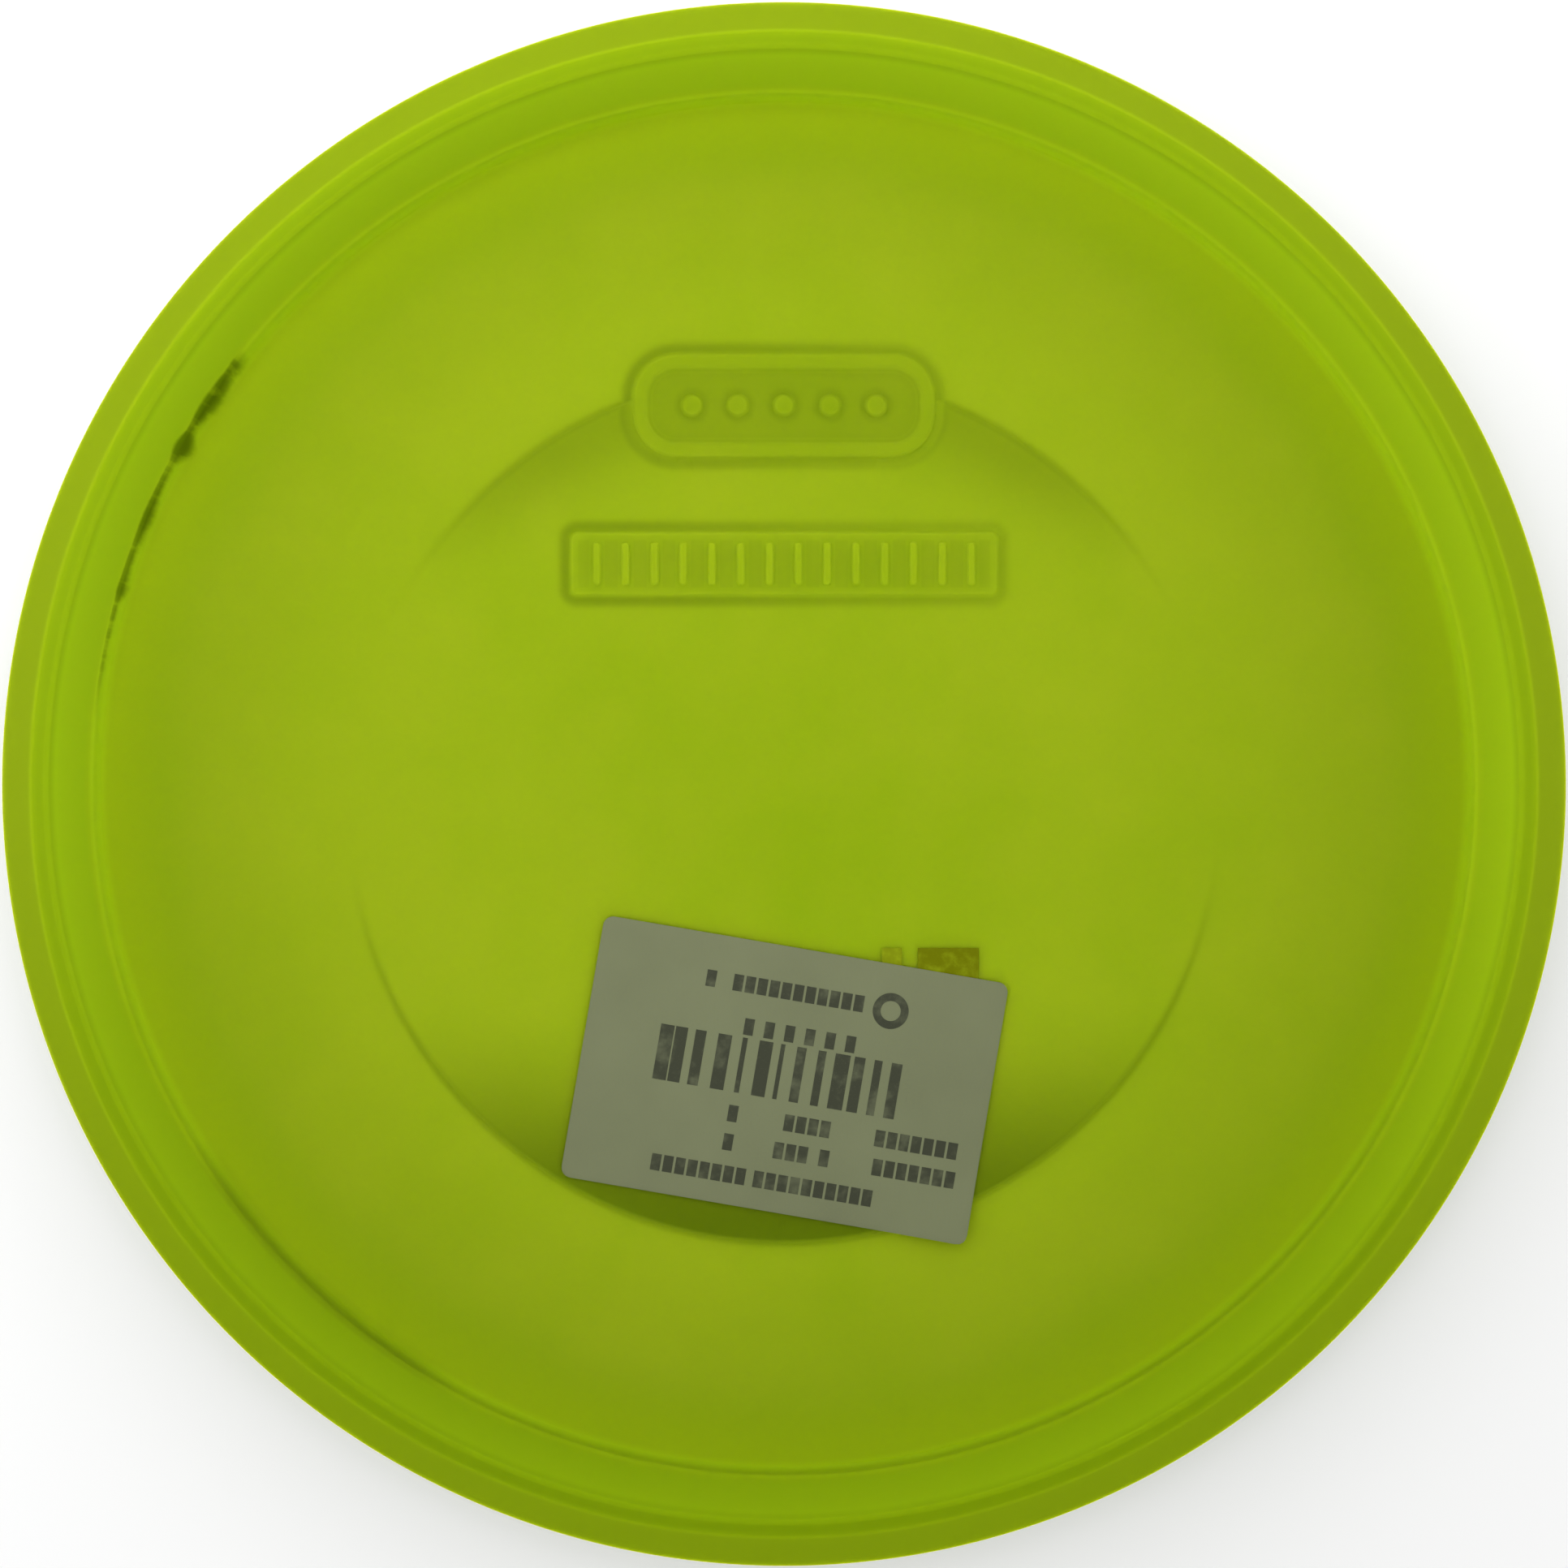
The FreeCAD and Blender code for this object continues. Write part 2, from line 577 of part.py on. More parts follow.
def make_label(doc, ink_mark):
    """The adhesive film, the paper and what is printed on it."""
    film = label_sheet(doc, "adhesive_film", "0", "Sizes.adhesive_thickness")
    adhesive = doc.addObject("Part::Cut", "label_adhesive")
    adhesive.Label = "label_adhesive"
    adhesive.Base, adhesive.Tool = film, ink_mark
    paper = label_sheet(doc, "label_paper", "Sizes.adhesive_thickness", "Sizes.paper_thickness")
    paper.Label = "label_paper"
    digits = [("Sizes.digit_x", "Sizes.digit_y", int(SIZES["digit_count"]))]
    pieces = [adhesive, paper]
    for name, blocks in (
        ("label_barcode_print", code_bars(doc) + glyph_rows(doc, "digit", digits, "Sizes.digit_pitch")),
        ("label_header_print", glyph_rows(doc, "header", HEADER_ROWS) + [hoop(doc)]),
        ("label_text_print", glyph_rows(doc, "text", TEXT_ROWS)),
    ):
        print_layer = doc.addObject("Part::Compound", name)
        print_layer.Label = name
        print_layer.Links = blocks
        lay_on_label(print_layer)
        pieces.append(print_layer)
    return pieces


def check(doc, sub_parts):
    """Stops if an object failed, or if a sub-part isn't closed and valid."""
    for thing in doc.Objects:
        if "Invalid" in thing.State or "Error" in thing.State:
            raise RuntimeError(f"{thing.Name} failed: {thing.State}")
    for piece in sub_parts:
        shape = piece.Shape
        if shape.isNull() or not shape.isValid() or not shape.Solids or shape.Volume <= 0:
            raise RuntimeError(f"{piece.Label} has no valid solid")


def main():
    doc = FreeCAD.newDocument("golf_disc")
    make_sheet(doc)
    disc = make_disc(doc)
    ink_mark = make_ink_mark(doc)
    sub_parts = [disc, ink_mark, *make_label(doc, ink_mark)]
    doc.recompute()
    check(doc, sub_parts)
    os.makedirs("parts", exist_ok=True)
    for piece in sub_parts:
        piece.Shape.exportStep(f"parts/{piece.Label}.step")
        size = piece.Shape.BoundBox
        print(
            f"{piece.Label}: {len(piece.Shape.Solids)} solid(s), {piece.Shape.Volume:.2f} mm3, "
            f"{size.XLength:.2f} x {size.YLength:.2f} x {size.ZLength:.2f} mm, Z from {size.ZMin:.3f}"
        )


main()
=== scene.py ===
"""A translucent golf putter disc, lying open side up with a price label stuck inside it.

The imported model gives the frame. Each operator makes one piece, or one group of like pieces, in metres.
"""
import math

import bmesh
import bpy
from mathutils import Matrix, Vector


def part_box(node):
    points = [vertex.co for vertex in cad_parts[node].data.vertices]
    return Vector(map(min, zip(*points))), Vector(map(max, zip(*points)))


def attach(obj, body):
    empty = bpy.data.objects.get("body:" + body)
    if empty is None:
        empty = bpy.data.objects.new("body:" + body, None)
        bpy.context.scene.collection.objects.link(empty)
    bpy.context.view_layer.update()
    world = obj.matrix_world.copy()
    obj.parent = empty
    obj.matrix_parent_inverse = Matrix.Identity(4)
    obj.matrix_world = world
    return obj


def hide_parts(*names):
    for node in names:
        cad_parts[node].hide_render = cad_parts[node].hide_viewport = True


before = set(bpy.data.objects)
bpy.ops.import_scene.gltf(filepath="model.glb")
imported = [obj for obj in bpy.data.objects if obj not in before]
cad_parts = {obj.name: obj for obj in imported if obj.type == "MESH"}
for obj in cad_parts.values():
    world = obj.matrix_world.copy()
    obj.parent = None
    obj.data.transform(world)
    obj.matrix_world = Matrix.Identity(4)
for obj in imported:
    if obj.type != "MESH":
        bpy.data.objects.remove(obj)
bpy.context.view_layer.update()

bl_info = {
    "name": "Golf putter disc",
    "version": (1, 0, 0),
    "blender": (4, 5, 0),
    "location": "3D Viewport > Sidebar > Disc",
    "description": "Builds a moulded golf putter disc with its price label and studio stage",
    "category": "Add Mesh",
}

MM = 0.001
# Vertices that are nearer to each other than this are merged.
MERGE = 5e-6
# The disc's radius and height are the X and Z of its box's high corner.
DISC_HIGH = Vector(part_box("disc_body")[1])


# ---------------------------------------------------------------- settings


def length(name, description, default):
    return bpy.props.FloatProperty(
        name=name, description=description, default=default, unit="LENGTH", precision=5
    )


def angle(name, description, default):
    return bpy.props.FloatProperty(
        name=name, description=description, default=math.radians(default), subtype="ANGLE"
    )


def number(name, description, default):
    return bpy.props.FloatProperty(name=name, description=description, default=default)


def count(name, description, default, least=1, most=1000):
    return bpy.props.IntProperty(
        name=name, description=description, default=default, min=least, max=most
    )


def colour(name, description, default):
    return bpy.props.FloatVectorProperty(
        name=name, description=description, default=default, subtype="COLOR", size=3, min=0.0, max=1.0
    )


class DiscSettings(bpy.types.PropertyGroup):
    """The moulding's section and panel."""

    rim_width: length("Rim width", "From the nose to the inner edge of the lip", 10.2 * MM)
    plate: length("Plate", "Thickness of the flight plate", 2.2 * MM)
    crown_rise: length("Crown rise", "How far the plate curves up to the wall", 1.3 * MM)
    flat_radius: length("Flat radius", "Radius of the plate's flat middle", 70.0 * MM)
    shoulder: length("Shoulder", "Radius between the crown and the nose", 16.0 * MM)
    nose: length("Nose", "Radius of the nose", 2.0 * MM)
    nose_height: length("Nose height", "Height of the nose's centre", 8.2 * MM)
    lip: length("Lip", "Width of the lip's flat", 1.2 * MM)
    lip_edge: length("Lip edge", "Radius of the lip's edges", 0.7 * MM)
    wall_lean: length("Wall lean", "Draft of the inner wall over its height", 0.35 * MM)
    seam: length("Seam", "How far the parting line stands out at the nose", 0.06 * MM)
    panel_radius: length("Panel radius", "Radius of the raised panel", 60.5 * MM)
    panel_offset: length("Panel offset", "How far the panel's centre is towards the label", 3.2 * MM)
    slope: angle("Panel slope", "How steeply the panel climbs at its two far sides", 0.68)
    strip_top: length("Strip top", "Where the upper slope starts", 26.6 * MM)
    strip_bottom: length("Strip bottom", "Where the lower slope starts", -12.9 * MM)
    segments: count("Segments", "Steps round the disc", 360, 60, 480)
    thin_colour: colour("Thin plastic", "Colour of the thin flight plate", (0.322, 0.425, 0.0105))
    wall_colour: colour("Wall plastic", "Colour where light gathers behind the wall", (0.270, 0.398, 0.006))
    # Painted light: a brighter colour at the foot of the wall.
    foot_light_colour: colour("Foot plastic", "Colour at the foot of the wall", (0.395, 0.485, 0.008))
    # Painted light: a brighter colour in the corner under the wall.
    crease_light_colour: colour("Crease plastic", "Colour in the corner under the wall", (0.420, 0.590, 0.008))
    rim_colour: colour("Rim plastic", "Colour of the thick rim", (0.146, 0.212, 0.004))
    gloss: number("Gloss", "Strength of the plastic's reflections", 0.0)
    depth: length("Depth", "How far light spreads inside the plastic", 8 * MM)
    # Deep plastic: the colour of thick plastic in the crescents and on the plaques, of painted shade round
    # the plaques and along the panel's edge, and of the soft dark line on the low side of the wall's foot.
    deep_and_shade_colour: colour("Deep plastic", "Colour in moulded corners and outlines", (0.105, 0.160, 0.003))
    # The colour of the dark lines in the foot of the wall, and of the painted shade on the rim's low side.
    line_and_shade_colour: colour("Dirt", "Colour of the dirt in the foot of the wall", (0.110, 0.175, 0.001))


class PlaqueSettings(bpy.types.PropertyGroup):
    """The two plaques moulded in the plate."""

    badge_y: length("Badge place", "Middle of the badge along Y", 52.6 * MM)
    badge_length: length("Badge length", "Length of the badge", 44.6 * MM)
    badge_width: length("Badge width", "Width of the badge", 17.0 * MM)
    badge_corner: length("Badge corner", "Corner radius of the badge", 7.4 * MM)
    stud_pitch: length("Stud pitch", "Distance between studs", 6.4 * MM)
    stud_radius: length("Stud radius", "Radius of a stud", 1.9 * MM)
    studs: count("Studs", "Studs on the badge", 5)
    bar_y: length("Bar place", "Middle of the bar along Y", 30.6 * MM)
    bar_length: length("Bar length", "Length of the bar", 61.8 * MM)
    bar_width: length("Bar width", "Width of the bar", 11.2 * MM)
    bar_corner: length("Bar corner", "Corner radius of the bar", 2.2 * MM)
    rib_pitch: length("Rib pitch", "Distance between ribs", 4.0 * MM)
    rib_width: length("Rib width", "Width of a rib", 1.5 * MM)
    rib_height: length("Rib height", "Length of a rib across the bar", 6.4 * MM)
    ribs: count("Ribs", "Ribs on the bar", 14)


class LabelSettings(bpy.types.PropertyGroup):
    """The price label."""

    x: length("X", "Middle of the label along X", 0.1 * MM)
    y: length("Y", "Middle of the label along Y", -41.1 * MM)
    turn: angle("Turn", "Turn of the label", -9.7)
    size_x: length("Length", "Length of the label", 57.0 * MM)
    size_y: length("Width", "Width of the label", 36.7 * MM)
    corner: length("Corner", "Corner radius of the label", 1.4 * MM)
    film: length("Film", "Thickness of the adhesive film", 0.03 * MM)
    paper: length("Paper", "Thickness of the paper", 0.1 * MM)
    lift: length("Lift", "How far the free corner has lifted", 0.5 * MM)
    lift_reach: length("Lift reach", "How far in from the free corner the lift starts", 9 * MM)
    paper_colour: colour("Paper", "Colour of the paper", (0.166, 0.183, 0.099))
    ink_colour: colour("Print", "Colour of the print", (0.036, 0.040, 0.022))
    mark_colour: colour("Mark", "Colour of the ink mark", (0.130, 0.148, 0.001))


class StageSettings(bpy.types.PropertyGroup):
    """The floor, the lights and the camera."""

    camera_height: length("Camera height", "Height of the camera over the lip", 231.0 * MM)
    focal: number("Focal length", "Lens in millimetres", 40.8)
    key_power: number("Key light", "Power in watts", 0.32)
    key_size: length("Key size", "Side of the key light's square", 0.3)
    key_spread: angle("Key spread", "Width of the key light's beam", 30.0)
    sky: number("Low sky", "Strength of the sky low down, over that of the high sky", 2.65)
    sky_top: number("High sky", "Strength of the sky overhead", 0.15)
    sky_side: number("Sky's side", "How much brighter the sky is at the far side", 0.15)
    floor_width: length("Floor width", "Side of the floor's square", 5.0)
    floor_colour: colour("Floor", "Colour of the floor", (0.9, 0.9, 0.9))


# ---------------------------------------------------------------- shader maths


class Signal:
    """A shader socket that can be used in sums."""

    def __init__(self, finish, socket):
        self.finish = finish
        self.socket = socket

    def maths(self, operation, *values):
        return self.finish.node("ShaderNodeMath", {"operation": operation}, dict(enumerate(values)))

    def __add__(self, other):
        return self.maths("ADD", self, other)

    def __sub__(self, other):
        return self.maths("SUBTRACT", self, other)

    def __rsub__(self, other):
        return self.maths("SUBTRACT", other, self)

    def __mul__(self, other):
        return self.maths("MULTIPLY", self, other)

    def __truediv__(self, other):
        return self.maths("DIVIDE", self, other)

    def __rtruediv__(self, other):
        return self.maths("DIVIDE", other, self)

    __radd__ = __add__
    __rmul__ = __mul__

    def root(self):
        return self.maths("SQRT", self)

    def least(self, other):
        return self.maths("MINIMUM", self, other)

    def most(self, other):
        return self.maths("MAXIMUM", self, other)

    def size(self):
        return self.maths("ABSOLUTE", self)

    def fraction(self):
        return self.maths("FRACT", self)

    def angle(self, across):
        """The angle of a place round zero, from its Y, which this signal is, and its X."""
        return self.maths("ARCTAN2", self, across)

    def step(self, low, high):
        """0 below low and 1 above high, with a smooth turn between. The two may be given high first."""
        settings = {"interpolation_type": "SMOOTHSTEP"}
        if low < high:
            sockets = {"Value": self, "From Min": low, "From Max": high}
        else:
            sockets = {"Value": self, "From Min": high, "From Max": low, "To Min": 1.0, "To Max": 0.0}
        return self.finish.node("ShaderNodeMapRange", settings, sockets)

    def band(self, middle, half_width):
        """1 on a value, fading to 0 at half_width from it on both sides."""
        return (self - middle).size().step(half_width, 0.0)


class Nodes:
    """The nodes of a material or of the sky, around the one shader that they feed."""

    def __init__(self, owner, shader):
        owner.use_nodes = True
        self.tree = owner.node_tree
        self.shader = self.tree.nodes[shader]

    def node(self, kind, settings=None, sockets=None, output=0):
        """Adds a node of a kind, with its settings first and then its sockets' values or links."""
        node = self.tree.nodes.new(kind)
        for name, value in (settings or {}).items():
            setattr(node, name, value)
        for name, value in (sockets or {}).items():
            if isinstance(value, Signal):
                self.tree.links.new(value.socket, node.inputs[name])
            else:
                node.inputs[name].default_value = value
        return Signal(self, node.outputs[output])

    def link(self, socket, signal):
        self.tree.links.new(signal.socket, self.shader.inputs[socket])

    def place(self, kind="Object"):
        """The place on the piece, in metres, as one vector and as its three parts."""
        vector = self.node("ShaderNodeTexCoord", output=kind)
        parts = [self.node("ShaderNodeSeparateXYZ", None, {"Vector": vector}, axis) for axis in "XYZ"]
        return vector, *parts

    def noise(self, vector, grain, detail=2.0, roughness=0.5):
        """Noise whose blotches are about one grain across, in metres."""
        sockets = {"Vector": vector, "Scale": 1.0 / grain, "Detail": detail, "Roughness": roughness}
        return self.node("ShaderNodeTexNoise", None, sockets)

    def mix(self, amount, one, other):
        """Goes from one colour to another as the amount goes from 0 to 1."""
        one, other = (c if isinstance(c, Signal) else (*c, 1.0) for c in (one, other))
        # A Mix node's colour sockets share their names with its value sockets, so they go by number.
        settings = {"data_type": "RGBA", "clamp_factor": True}
        return self.node("ShaderNodeMix", settings, {0: amount, 6: one, 7: other}, 2)

    def vector(self, x, y, z):
        return self.node("ShaderNodeCombineXYZ", None, {"X": x, "Y": y, "Z": z})

    def bump(self, height, distance, strength=1.0, under=None):
        sockets = {"Height": height, "Distance": distance, "Strength": strength}
        if under:
            sockets["Normal"] = under
        return self.node("ShaderNodeBump", None, sockets)


class Finish(Nodes):
    """A material with one Principled shader, whose constant settings come by name."""

    def __init__(self, name, **constants):
        self.material = bpy.data.materials.new(name)
        super().__init__(self.material, "Principled BSDF")
        for socket, value in constants.items():
            self.shader.inputs[socket.replace("_", " ")].default_value = value


# ---------------------------------------------------------------- mesh helpers


def new_piece(name, bm, replaced, material):
    """Turns a finished bmesh into a piece of the object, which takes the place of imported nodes."""
    bmesh.ops.recalc_face_normals(bm, faces=bm.faces)
    for face in bm.faces:
        face.smooth = True
    areas = {face: face.calc_area() for face in bm.faces}
    normals = [sum((face.normal * areas[face] for face in v.link_faces), Vector()) for v in bm.verts]
    mesh = bpy.data.meshes.new(name)
    bm.to_mesh(mesh)
    bm.free()
    # Large flat faces decide the normals at their corners, so they stay flat beside small curves.
    mesh.normals_split_custom_set_from_vertices([normal.normalized() for normal in normals])
    piece = bpy.data.objects.new(name, mesh)
    bpy.context.collection.objects.link(piece)
    mesh.materials.append(material)
    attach(piece, "root")
    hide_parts(*replaced)


def united(one, other):
    """Joins two overlapping closed bmeshes into one skin."""
    pieces = []
    for bm in (one, other):
        bmesh.ops.recalc_face_normals(bm, faces=bm.faces)
        mesh = bpy.data.meshes.new("part")
        bm.to_mesh(mesh)
        bm.free()
        piece = bpy.data.objects.new("part", mesh)
        bpy.context.collection.objects.link(piece)
        pieces.append(piece)
    union = pieces[0].modifiers.new("union", "BOOLEAN")
    union.operation = "UNION"
    union.object = pieces[1]
    graph = bpy.context.evaluated_depsgraph_get()
    mesh = bpy.data.meshes.new_from_object(pieces[0].evaluated_get(graph))
    bm = bmesh.new()
    bm.from_mesh(mesh)
    for waste in (mesh, *(piece.data for piece in pieces)):
        bpy.data.meshes.remove(waste)
    return bm


def round_corners(bm, corners, tangent, segments):
    """Rounds corners of an outline, over a stretch of each side that is as long as the tangent."""
    bmesh.ops.bevel(
        bm,
        geom=corners,
        offset=tangent,
        offset_type="OFFSET",
        affect="VERTICES",
        segments=segments,
        profile=0.5,
        material=-1,
    )


# ---------------------------------------------------------------- the plaques

# A moulded relief in mm, from its foot inwards: how far in and how far up each step goes.
BADGE_RELIEF = [(0.8, 0.04), (0.4, 0.16), (0.25, 0.25), (0.4, 0.12), (0.9, 0.0), (0.4, -0.08), (0.4, -0.2)]
BAR_RELIEF = [(0.7, 0.03), (0.4, 0.12), (0.2, 0.18), (0.3, 0.1)]
RIB_RELIEF = [(0.2, 0.06), (0.12, 0.2), (0.15, 0.08)]
STUD_RELIEF = [(0.35, 0.08), (0.2, 0.2), (0.35, 0.12)]
# A plaque's foot stands this far over the plate, and its root goes this far down from there.
PLAQUE_FOOT = 0.02 * MM
PLAQUE_ROOT = 0.6 * MM


def rounded_face(bm, centre, size, corner, z, segments):
    """A flat face with round corners."""
    half_x, half_y = size[0] / 2, size[1] / 2
    signs = [(-1, -1), (1, -1), (1, 1), (-1, 1)]
    corners = [bm.verts.new((centre[0] + sx * half_x, centre[1] + sy * half_y, z)) for sx, sy in signs]
    face = bm.faces.new(corners)
    before = set(bm.faces) - {face}
    round_corners(bm, corners, corner, segments)
    return next(f for f in bm.faces if f not in before)


def raise_relief(bm, face, relief, root):
    """Raises a flat face by its root, then by its relief step by step."""
    made = bmesh.ops.extrude_face_region(bm, geom=[face])["geom"]
    top = next(f for f in made if isinstance(f, bmesh.types.BMFace))
    bmesh.ops.translate(bm, verts=top.verts, vec=(0, 0, root))
    for inset, rise in relief:
        bmesh.ops.inset_region(
            bm, faces=[top], thickness=inset * MM, depth=0.0, use_even_offset=True, use_boundary=True
        )
        bmesh.ops.translate(bm, verts=top.verts, vec=(0, 0, rise * MM))


def row(pitch, number_in_row):
    """The places of like things in a row that is centred on zero."""
    first = -pitch * (number_in_row - 1) / 2
    return [first + k * pitch for k in range(number_in_row)]


def build_badge(disc, plaques):
    """The round-ended badge with a raised border and a row of studs."""
    bm = bmesh.new()
    size = (plaques.badge_length, plaques.badge_width)
    foot = disc.plate + PLAQUE_FOOT
    face = rounded_face(bm, (0, plaques.badge_y), size, plaques.badge_corner, foot - PLAQUE_ROOT, 12)
    raise_relief(bm, face, BADGE_RELIEF, PLAQUE_ROOT)
    floor = disc.plate + sum(rise for _, rise in BADGE_RELIEF) * MM
    root = PLAQUE_ROOT / 2
    studs = bmesh.new()
    for x in row(plaques.stud_pitch, plaques.studs):
        bmesh.ops.create_circle(
            studs,
            cap_ends=True,
            segments=28,
            radius=plaques.stud_radius,
            matrix=Matrix.Translation((x, plaques.badge_y, floor - root)),
        )
        raise_relief(studs, studs.faces[:][-1], STUD_RELIEF, root)
    return united(bm, studs)


def build_bar(disc, plaques):
    """The plain bar with a row of upright ribs."""
    bm = bmesh.new()
    size = (plaques.bar_length, plaques.bar_width)
    foot = disc.plate + PLAQUE_FOOT
    face = rounded_face(bm, (0, plaques.bar_y), size, plaques.bar_corner, foot - PLAQUE_ROOT, 10)
    raise_relief(bm, face, BAR_RELIEF, PLAQUE_ROOT)
    floor = disc.plate + sum(rise for _, rise in BAR_RELIEF) * MM
    root = PLAQUE_ROOT / 2
    rib_size = (plaques.rib_width, plaques.rib_height)
    rib_corner = plaques.rib_width * 0.45
    ribs = bmesh.new()
    for x in row(plaques.rib_pitch, plaques.ribs):
        face = rounded_face(ribs, (x, plaques.bar_y), rib_size, rib_corner, floor - root, 4)
        raise_relief(ribs, face, RIB_RELIEF, root)
    return united(bm, ribs)


# ---------------------------------------------------------------- the moulding

# The groove in the plate beside the wall, in mm: how far in from the wall's foot and how far down each of
# its corners is, and the tangent length and the segments of the corner's rounding.
GROOVE = [(0.65, 0.01, 0.0, 0), (0.9, 0.08, 0.12, 3), (1.15, 0.04, 0.0, 0)]
# A rounding stops just short of the next one, at this share of its tangent.
SHORT = 0.99


def disc_section(disc):
    """The corners of the half section, each with the tangent length and the segments of its rounding."""
    half = DISC_HIGH.x
    height = DISC_HIGH.z
    lip_inner = half - disc.rim_width
    crown_width = lip_inner - disc.flat_radius
    crown = (crown_width**2 + disc.crown_rise**2) / (2 * disc.crown_rise)
    nose_x = half - disc.nose
    # The shoulder touches the crown inside and the nose inside, which gives its place.
    to_crown, to_nose = crown - disc.shoulder, disc.shoulder - disc.nose
    across, up = nose_x - disc.flat_radius, crown - disc.nose_height
    apart = math.hypot(across, up)
    turn = math.acos((to_crown**2 + apart**2 - to_nose**2) / (2 * to_crown * apart))
    crown_end = math.atan2(across, up) - turn
    shoulder_x = disc.flat_radius + to_crown * math.sin(crown_end)
    shoulder_z = crown - to_crown * math.cos(crown_end)
    nose_start = math.atan2(nose_x - shoulder_x, shoulder_z - disc.nose_height)
    # The lower face touches the nose and the lip's outer edge.
    lip_x = lip_inner + disc.lip_edge + disc.lip
    across, up = lip_x - nose_x, height - disc.lip_edge - disc.nose_height
    face = math.atan2(up, across) - math.acos((disc.nose - disc.lip_edge) / math.hypot(across, up))
    face += math.pi / 2
    crown_tangent = crown * math.tan(crown_end / 2)
    shoulder_tangent = disc.shoulder * math.tan((nose_start - crown_end) / 2)
    nose_tangent = disc.nose * math.tan((face - nose_start) / 2)
    lip_tangent = disc.lip_edge * math.tan((math.pi - face) / 2)
    shoulder_corner = Vector((
        disc.flat_radius + crown * math.sin(crown_end) + shoulder_tangent * math.cos(crown_end),
        crown * (1 - math.cos(crown_end)) + shoulder_tangent * math.sin(crown_end),
    ))
    nose_corner = shoulder_corner + (shoulder_tangent + nose_tangent) * Vector(
        (math.cos(nose_start), math.sin(nose_start))
    )
    foot_x = lip_inner - disc.wall_lean
    inner = crown - disc.plate
    inner_turn = math.asin((foot_x - disc.flat_radius) / inner)
    foot_z = crown - inner * math.cos(inner_turn)
    groove = [(foot_x - x * MM, foot_z - z * MM, reach * MM, steps) for x, z, reach, steps in GROOVE]
    # From the axis out along the outer face, round the nose, over the lip and back in along the plate.
    return [
        (0.0, 0.0, 0, 0),
        (disc.flat_radius / 2, 0.0, 0, 0),
        (disc.flat_radius + crown_tangent, 0.0, crown_tangent * SHORT, 10),
        (*shoulder_corner, shoulder_tangent * SHORT, 14),
        (*nose_corner, nose_tangent * SHORT, 12),
        (lip_x + lip_tangent, height, lip_tangent * SHORT, 6),
        (lip_inner, height, disc.lip_edge * 0.95, 8),
        (foot_x, foot_z + 0.1 * MM, 0.55 * MM, 6),
        *groove,
        (disc.flat_radius + inner * math.tan(inner_turn / 2), disc.plate, 10 * MM, 10),
        (disc.flat_radius, disc.plate, 0, 0),
    ]


# The panel's edge, ring by ring: how far outside the panel's radius in mm, and the share of the climb.
PANEL_EDGE = [(2.5, 0.0), (0.9, 0.0), (0.45, 0.03), (0.2, 0.2), (0.0, 0.55), (-0.2, 0.85), (-0.5, 0.98)]
PANEL_RINGS = 20


def climb(disc, y):
    """How far the panel's face stands above the plate at a place along Y."""
    knee = 6 * MM
    run = 0.0
    for past in (y - disc.strip_top, disc.strip_bottom - y):
        # The slope starts softly, over about the length of the knee.
        run += knee * math.log1p(math.exp(past / knee)) if past < 10 * knee else past
    return run * math.tan(disc.slope)


def build_moulding(disc):
    """The plate and rim turned in one go, then the panel drawn inwards ring by ring."""
    bm = bmesh.new()
    outline = []
    for x, z, tangent, segments in disc_section(disc):
        outline.append((bm.verts.new((x, 0.0, z)), tangent, segments))
    for (one, *_), (other, *_) in zip(outline, outline[1:]):
        bm.edges.new((one, other))
    for vertex, tangent, segments in outline:
        if segments:
            round_corners(bm, [vertex], tangent, segments)
    bmesh.ops.remove_doubles(bm, verts=bm.verts, dist=MERGE)
    bmesh.ops.spin(
        bm,
        geom=[*bm.verts, *bm.edges],
        axis=(0, 0, 1),
        cent=(0, 0, 0),
        angle=math.tau,
        steps=disc.segments,
        use_merge=True,
    )
    bmesh.ops.remove_doubles(bm, verts=bm.verts, dist=MERGE)

    # Each ring of the panel: its radius and its share of the climb.
    radius = disc.panel_radius
    rings = [(radius + out * MM, share) for out, share in PANEL_EDGE]
    rings += [(radius * (1 - (k + 0.4) / PANEL_RINGS), 1.0) for k in range(PANEL_RINGS)]
    centre = Vector((0.0, -disc.panel_offset, 0.0))
    loop = [e for e in bm.edges if e.is_boundary]
    for ring_radius, share in rings:
        made = bmesh.ops.extrude_edge_only(bm, edges=loop)["geom"]
        loop = [e for e in made if isinstance(e, bmesh.types.BMEdge) and e.is_boundary]
        for vertex in {v for e in loop for v in e.verts}:
            flat = Vector((vertex.co.x, vertex.co.y, 0.0)) - centre
            place = centre + flat.normalized() * ring_radius
            vertex.co = (place.x, place.y, disc.plate + climb(disc, place.y) * share)
    centre.z = disc.plate + climb(disc, centre.y)
    bmesh.ops.pointmerge(bm, verts=list({v for e in loop for v in e.verts}), merge_co=centre)
    add_seam(bm, disc)
    return bm


def add_seam(bm, disc):
    """Draws the vertices at the tip of the nose out into a fine parting line."""
    tip = max(v.co.xy.length for v in bm.verts)
    for vertex in bm.verts:
        if vertex.co.xy.length > tip - 0.001 * MM:
            vertex.co.xy *= (tip + disc.seam) / tip


# Blobs on the dark line in the foot of the wall: degrees round, half length in degrees, added half width in
# mm.
FOOT_BLOBS = [(142.4, 1.6, 0.3), (146.2, 3.6, 0.6), (150.8, 1.7, 0.9), (157.0, 3.0, 0.2), (163.5, 1.5, 0.25)]
# In degrees round: where the dark line fades in and out, where it gets thinner, and the soft line's ends on
# the low side.
FOOT_LINE_FROM, FOOT_LINE_TO = (141, 143), (176, 168)
FOOT_LINE_THINS = (174, 158)
LOW_LINE_FROM, LOW_LINE_TO = (-150, -142), (-117, -124)


